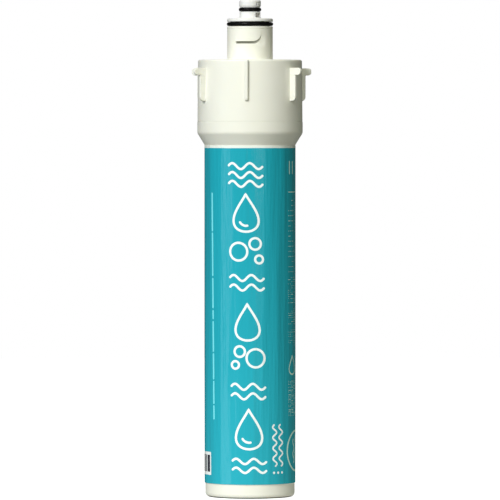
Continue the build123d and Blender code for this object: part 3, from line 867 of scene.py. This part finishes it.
def film_sheet():
    """Rows up the outside at the film's radius, then down the inside at the barrel's.

    A row is (distance off the surface it lies on, height, 1 outside or 0 inside). Two columns
    close to the lap's edge keep its step sharp.
    """
    step = FRONT + LAP_START + np.array([-LAP_EDGE, LAP_EDGE])
    even = np.linspace(0, 2 * np.pi, FILM_STEPS, endpoint=False)
    turn = np.sort(np.concatenate([even, step]))
    outside = [FILM_LOW + FILM_EDGE, *np.linspace(20, 310, 30), FILM_HIGH - FILM_EDGE]
    rows = [(0, FILM_LOW, 0), (-FILM_EDGE, FILM_LOW, 1)]
    rows += [(0, height, 1) for height in outside]
    rows += [(-FILM_EDGE, FILM_HIGH, 1), (0, FILM_HIGH, 0)]
    off, height, is_outside = np.array(rows).T[..., None]
    radius = off + np.where(is_outside > 0, film_surface(turn), FILM_IN)
    points = np.stack([
        radius * np.cos(turn), radius * np.sin(turn), height + 0 * turn,
    ], axis=-1)
    return points, grid_faces(len(rows), len(turn), True, True)


RIPPLES, RIPPLE_DEPTH, DIMPLE_SHARE = (95, 95, 6), 0.003, 0.06


def laminate(made):
    """Add the clear gloss coat of the film, with ripples that run up the barrel."""
    ripple = made.noise(1.0, 3, place=made.stretched(RIPPLES))
    dimple = made.noise(520, 2)
    high = made.number("ADD", ripple, made.number("MULTIPLY", dimple, DIMPLE_SHARE))
    made.relief(high, RIPPLE_DEPTH, 0.6, onto=("Normal", "Coat Normal"))
    made.shader.inputs["Coat Weight"].default_value = 1.0
    made.shader.inputs["Coat Roughness"].default_value = 0.2
    made.shader.inputs["Roughness"].default_value = 0.5
    made.shader.inputs["Specular IOR Level"].default_value = 0.0


LOW_TEAL, HIGH_TEAL = (0.024, 0.42, 0.53), (0.013, 0.375, 0.475)
CLEAR_MARGIN = (0.84, 0.90, 0.84)


def printed_film():
    """Turquoise print that lightens downwards, with a clear margin over the cream barrel."""
    made = Finish("turquoise_film")
    split = made.add("ShaderNodeSeparateXYZ")
    made.join(made.place, split.inputs["Vector"])
    waver = made.number("MULTIPLY", made.noise(60, 2), 0.0005)
    height = made.number("ADD", split.outputs["Z"], waver)
    cloud = made.number("MULTIPLY_ADD", made.noise(14, 3), 0.12, height)
    teal = made.blend(made.spread(cloud, 0, 1, 0.03, 0.36), LOW_TEAL, HIGH_TEAL)
    margin = made.number("GREATER_THAN", height, MARGIN_START * MM)
    made.colour(made.blend(margin, teal, CLEAR_MARGIN))
    laminate(made)
    return made.made


finishes["label_film"] = printed_film()
label_film = make_piece("label_film", [film_sheet()], finishes["label_film"],
                        smooth_angle=FILM_CREASE)
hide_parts("label_sleeve")

# %% [markdown]
# The print is white line art. The real label carries words and marks, which don't belong on a
# shared part, so this one has plain waves, drops and bubbles in the same places, with the same
# line weight. A line is a thin raised band: a path drawn flat on the label, given a width and
# round ends, and then rolled round the barrel.

# %% Bands of ink
INK_LIFT, INK_ROOT = 0.025, -0.01
PRINT_LEAN, LABEL_MIDDLE = 0.014, 160.0
CAP_POINTS, CAP_START = 6, 0.12
INK_CREASE = 40


def on_film(across, height, lift):
    """Roll the flat label round the barrel: the angle is the distance across over the radius.

    The label went on a little askew, so the print drifts left by its lean times the height.
    """
    angle = FRONT + (across - PRINT_LEAN * (height - LABEL_MIDDLE)) / FILM_OUT
    radius = film_surface(angle) + lift
    return np.stack([radius * np.cos(angle), radius * np.sin(angle), height], axis=-1)


def band(path, width, spacing=1.0, round_ends=True, closed=False):
    """A line of ink along a path of (across, height), both in mm.

    Each point gives four: half the width to the left and to the right, each at the ink's root
    and on its top. A round end follows a circle: with w half the width, the reach to each side
    is sqrt(w² - (w - distance to the end)²).
    """
    path = np.asarray(path, float)
    if closed:
        path = np.concatenate([path, path[:1]])
    run = np.concatenate([[0], np.cumsum(np.linalg.norm(np.diff(path, axis=0), axis=1))])
    half, length = width / 2, run[-1]
    if closed:
        at = np.linspace(0, length, max(8, int(length / spacing)), endpoint=False)
    elif round_ends:
        cap = half * (1 - np.cos(np.linspace(CAP_START, np.pi / 2, CAP_POINTS)))
        count = max(2, int((length - 2 * half) / spacing) + 1)
        at = np.concatenate([cap[:-1], np.linspace(half, length - half, count),
                             length - cap[-2::-1]])
    else:
        at = np.linspace(0, length, max(2, int(length / spacing) + 1))
    spots = np.stack([np.interp(at, run, path[:, k]) for k in (0, 1)], axis=-1)
    if closed:
        ahead = np.roll(spots, -1, axis=0) - np.roll(spots, 1, axis=0)
    else:
        ahead = np.gradient(spots, axis=0)
    ahead /= np.linalg.norm(ahead, axis=1, keepdims=True)
    left = np.stack([-ahead[:, 1], ahead[:, 0]], axis=-1)
    reach = np.full(len(at), half)
    if round_ends and not closed:
        short = np.clip(half - np.minimum(at, length - at), 0, half)
        reach = np.sqrt(half ** 2 - short ** 2)
    sides = [spots - left * reach[:, None], spots + left * reach[:, None]]
    rings = [(sides[0], INK_ROOT), (sides[0], INK_LIFT), (sides[1], INK_LIFT),
             (sides[1], INK_ROOT)]
    points = np.stack([on_film(side[:, 0], side[:, 1], lift) for side, lift in rings], axis=1)
    faces = grid_faces(len(at), 4, closed, True)
    if not closed:
        last = 4 * (len(at) - 1)
        ends = np.array([[3, 2, 1, 0], [last, last + 1, last + 2, last + 3]])
        faces = np.concatenate([faces, ends])
    return points, faces


def disc(across, height, radius):
    """A dot of ink: a band as long as it is wide, with round ends."""
    return band([(across - radius, height), (across + radius, height)], 2 * radius)


def block(left, right, low, high):
    """A filled rectangle of ink: a band along its middle height, with square ends."""
    middle = (low + high) / 2
    return band([(left, middle), (right, middle)], high - low, spacing=2.0, round_ends=False)


print("a dot of ink has", len(disc(0, LABEL_MIDDLE, 1.0)[1]), "faces")

# %% [markdown]
# Three curves are enough for the line art: a sine for a wave, a pinched circle for a drop and an
# arc for a bubble or a glint. Each is only a list of flat points, so the same band inks them all.
# The inks lie under the film's gloss, so they share its coat.

# %% Shapes and inks for the line art
WAVE_POINTS, DROP_POINTS, CIRCLE_POINTS = 96, 120, 72


def wave(left, right, level, swell, crests):
    """A sine line: height = level + swell * sin(2 pi * crests * share of the way across)."""
    share = np.linspace(0, 1, WAVE_POINTS)
    return np.stack([left + (right - left) * share,
                     level + swell * np.sin(2 * np.pi * crests * share)], axis=-1)


def drop(across, low, width, height):
    """A drop's outline: across = sin t * sin(t / 2)^1.5, up = (1 + cos t) / 2, t once round."""
    turn = np.linspace(0, 2 * np.pi, DROP_POINTS, endpoint=False)
    wide = np.sin(turn) * np.sin(turn / 2) ** 1.5
    return np.stack([across + wide * width / np.ptp(wide),
                     low + height * (1 + np.cos(turn)) / 2], axis=-1)


def arc(across, height, radius, start=0.0, end=360.0):
    """Points of a circle or a part of one, with angles in degrees from the right."""
    turn = np.radians(np.linspace(start, end, CIRCLE_POINTS, endpoint=end - start < 360))
    return np.stack([across + radius * np.cos(turn), height + radius * np.sin(turn)], axis=-1)


def circle(across, height, radius, width):
    """A ring of ink."""
    return band(arc(across, height, radius)[:-1], width, closed=True)


def ink(name, tint, deep):
    """Printing ink under the laminate: an even tint with the faint dots of a screen print."""
    made = Finish(name)
    dots = made.noise(1900, 1)
    made.colour(made.blend(made.spread(dots, 0, 1), tint, deep))
    laminate(made)
    return made.made


finishes["white_ink"] = ink("white_ink", (0.93, 0.985, 0.985), (0.89, 0.955, 0.955))
finishes["mint_ink"] = ink("mint_ink", (0.70, 0.98, 0.88), (0.64, 0.93, 0.82))
finishes["pale_ink"] = ink("pale_blue_ink", (0.24, 0.86, 0.94), (0.18, 0.80, 0.90))
finishes["dark_ink"] = ink("dark_blue_ink", (0.022, 0.022, 0.045), (0.014, 0.014, 0.03))
print("inks:", [name for name in finishes if name.endswith("_ink")])

# %% [markdown]
# The main column stands where the label's largest words would. From the top it holds waves, a
# drop and bubbles, waves, a drop and bubbles, waves, a drop, and waves again, each group within
# the height of one word.

# %% Main column of waves, drops and bubbles
STROKE = 2.1
LEFT, RIGHT = -15.9, 16.5
MIDDLE = (LEFT + RIGHT) / 2


def waves(level, rows, gap, swell=2.7, crests=2):
    """Wave lines one above another, across the whole column."""
    levels = level + gap * (np.arange(rows) - (rows - 1) / 2)
    return [band(wave(LEFT, RIGHT, z, swell, crests), STROKE) for z in levels]


def print_piece(name, bands, ink_finish):
    """One piece of print from its bands, which keep a crease along their edges."""
    return make_piece(name, bands, finishes[ink_finish], smooth_angle=INK_CREASE)


main_column = waves(292, 3, 8.0)
main_column += [band(drop(MIDDLE, 241, 23, 34), STROKE, closed=True),
                band(arc(MIDDLE, 252.5, 6.2, 200, 290), STROKE)]
main_column += [circle(MIDDLE - 7.2, 223, 8.0, STROKE), circle(MIDDLE + 8.0, 230, 5.2, STROKE),
                circle(MIDDLE + 11.4, 216, 3.6, STROKE)]
main_column += waves(195, 2, 8.6)
main_column += [band(drop(MIDDLE, 143, 22, 33), STROKE, closed=True)]
main_column += [circle(MIDDLE + 7.0, 127, 8.2, STROKE), circle(MIDDLE - 7.4, 133, 4.8, STROKE),
                circle(MIDDLE - 11.6, 121, 3.4, STROKE)]
main_column += waves(97, 2, 8.6)
main_column += [band(drop(MIDDLE, 45, 24, 36), STROKE, closed=True),
                band(arc(MIDDLE, 57.5, 6.6, 200, 290), STROKE)]
main_column += waves(30, 2, 8.0, swell=2.4)
print_piece("print_main", main_column, "white_ink")

# %% [markdown]
# Beside the main column the label has a small word, tiny notes, a sign and a badge at the right,
# and a rule and a code panel at the left. They become waves, rows of tiny bars, a drop, a ring
# and striped blocks. Rows of bars read as small print from afar and say nothing.

# %% Side prints
def upright_wave(across, low, high, swell, crests):
    """A wave line that climbs: the same sine, with across and height exchanged."""
    line = wave(low, high, 0, swell, crests)
    return np.stack([across + line[:, 1], line[:, 0]], axis=-1)


SMALL_STROKE, DOT = 1.6, 1.15
side_column = [band(upright_wave(across, 29, 67, 2.1, 4), SMALL_STROKE)
               for across in (24.8, 31.6)]
side_column += [disc(across, 23.4, DOT) for across in (23.6, 28.2, 32.8)]
print_piece("print_side", side_column, "white_ink")

dice = np.random.default_rng(11)


def small_print(columns, low, high, pitch, length, thick=0.5, filled=0.75):
    """Columns of tiny bars, one for each pitch of height. A seeded draw leaves some out, and
    another one shortens the rest by up to a quarter."""
    heights = np.arange(low, high, pitch)
    bars = []
    for across in columns:
        kept = heights[dice.random(len(heights)) < filled]
        sizes = length * (0.75 + 0.25 * dice.random(len(kept)))
        bars += [block(across, across + size, z, z + thick) for z, size in zip(kept, sizes)]
    return bars


notes = small_print((43.2, 48.6, 54.0), 74, 106, 1.35, 4.4)
notes += small_print((44.2, 49.6, 55.0), 140, 200, 1.9, 4.2, filled=0.6)
notes += small_print((45.3, 51.3), 204, 272, 4.6, 4.0, thick=0.8, filled=0.7)
notes += [block(45.3, 61.0, 276.0, 276.8)]
print_piece("print_notes", notes, "mint_ink")

signs = [band([(47.5, 292.5), (47.5, 304.5)], 1.3), band([(53.5, 292.5), (53.5, 304.5)], 1.3),
         band(drop(50.9, 111.5, 12.5, 17), 1.4, closed=True),
         circle(58.4, 42.0, 18.0, 1.8),
         band(upright_wave(52.9, 31, 53, 1.6, 2), 1.4),
         band(upright_wave(58.9, 28, 56, 1.6, 2), 1.4)]
print_piece("print_signs", signs, "mint_ink")

# %% Rule and striped panel
RULE_ACROSS, RULE_WIDTH = -36.0, 2.0
RULE_RUNS = ((71, 84), (85, 106), (107.2, 131), (132, 160), (161.5, 170), (171.5, 199),
             (200.5, 240), (241, 276))
rule = [band([(RULE_ACROSS, low), (RULE_ACROSS, high)], RULE_WIDTH, spacing=20)
        for low, high in RULE_RUNS]
print_piece("print_rule", rule, "pale_ink")

PANEL_LEFT, PANEL_RIGHT, PANEL_LOW, PANEL_HIGH = -64.8, -41.2, 20.6, 41.4
STRIPES_RIGHT, STRIPES_LOW, STRIPES_HIGH = -43.2, 23.4, 38.8
print_piece("print_panel", [block(PANEL_LEFT, PANEL_RIGHT, PANEL_LOW, PANEL_HIGH)], "white_ink")


def stripes_on_panel():
    """Dark stripes of mixed widths, from right to left, raised by one more film of ink."""
    widths = np.array([4.6, 1.2, 1.8, 0.9, 2.4, 1.0, 1.6, 0.9])
    gaps = np.array([1.4, 0.9, 1.0, 1.3, 0.9, 1.2, 0.8])
    before = np.concatenate([[0], np.cumsum(widths[:-1] + gaps)])
    stripes = [block(right - width, right, STRIPES_LOW, STRIPES_HIGH)
               for right, width in zip(STRIPES_RIGHT - before, widths)]
    outwards = 1 + INK_LIFT / FILM_OUT
    return [(points * np.array([outwards, outwards, 1]), faces) for points, faces in stripes]


print_piece("print_panel_bars", stripes_on_panel(), "dark_ink")
